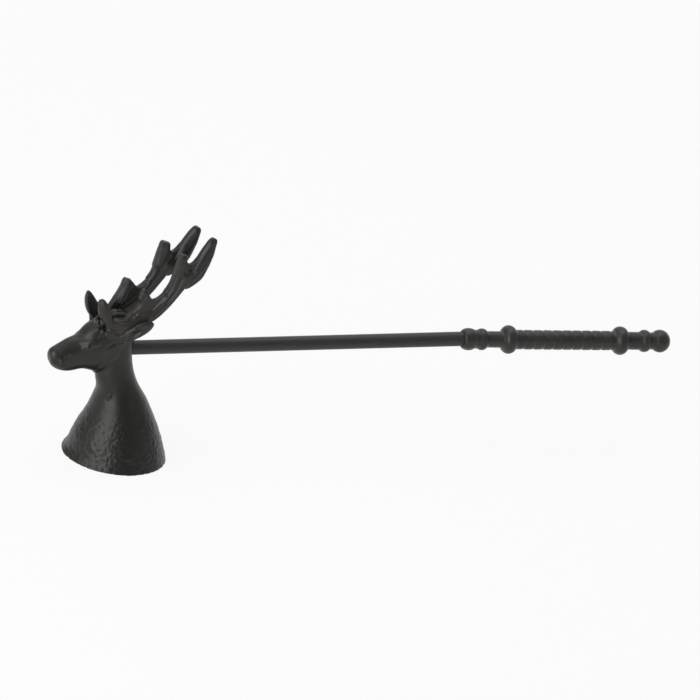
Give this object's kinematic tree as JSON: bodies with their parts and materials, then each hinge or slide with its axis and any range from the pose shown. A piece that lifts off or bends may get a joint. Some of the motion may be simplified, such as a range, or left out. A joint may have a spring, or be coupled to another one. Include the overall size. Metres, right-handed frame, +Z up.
{
  "type": "candle snuffer",
  "caption": "Long-handled candle snuffer in black cast metal, with a stag's head whose neck flares into the snuffing bell and a ribbed handle on a slim rod.",
  "frame": {"origin": "centre of the bell's mouth, in the plane of its rim", "axes": "+Z up the bell's axis, +X along the rod towards the handle, and the stag looks along -X, so -Y is its left side"},
  "size_m": [0.2763, 0.0434, 0.1001],
  "materials": {
    "black_cast_iron": "satin black paint or wax over a cast surface, fine-grained on the head and hammered on the bell",
    "black_rod": "satin black, smooth drawn bar"
  },
  "bodies": {
    "root": {"bust": "black_cast_iron", "antler_left": "black_cast_iron", "antler_right": "black_cast_iron", "handle": "black_cast_iron", "rod": "black_rod"}
  },
  "joints": []
}
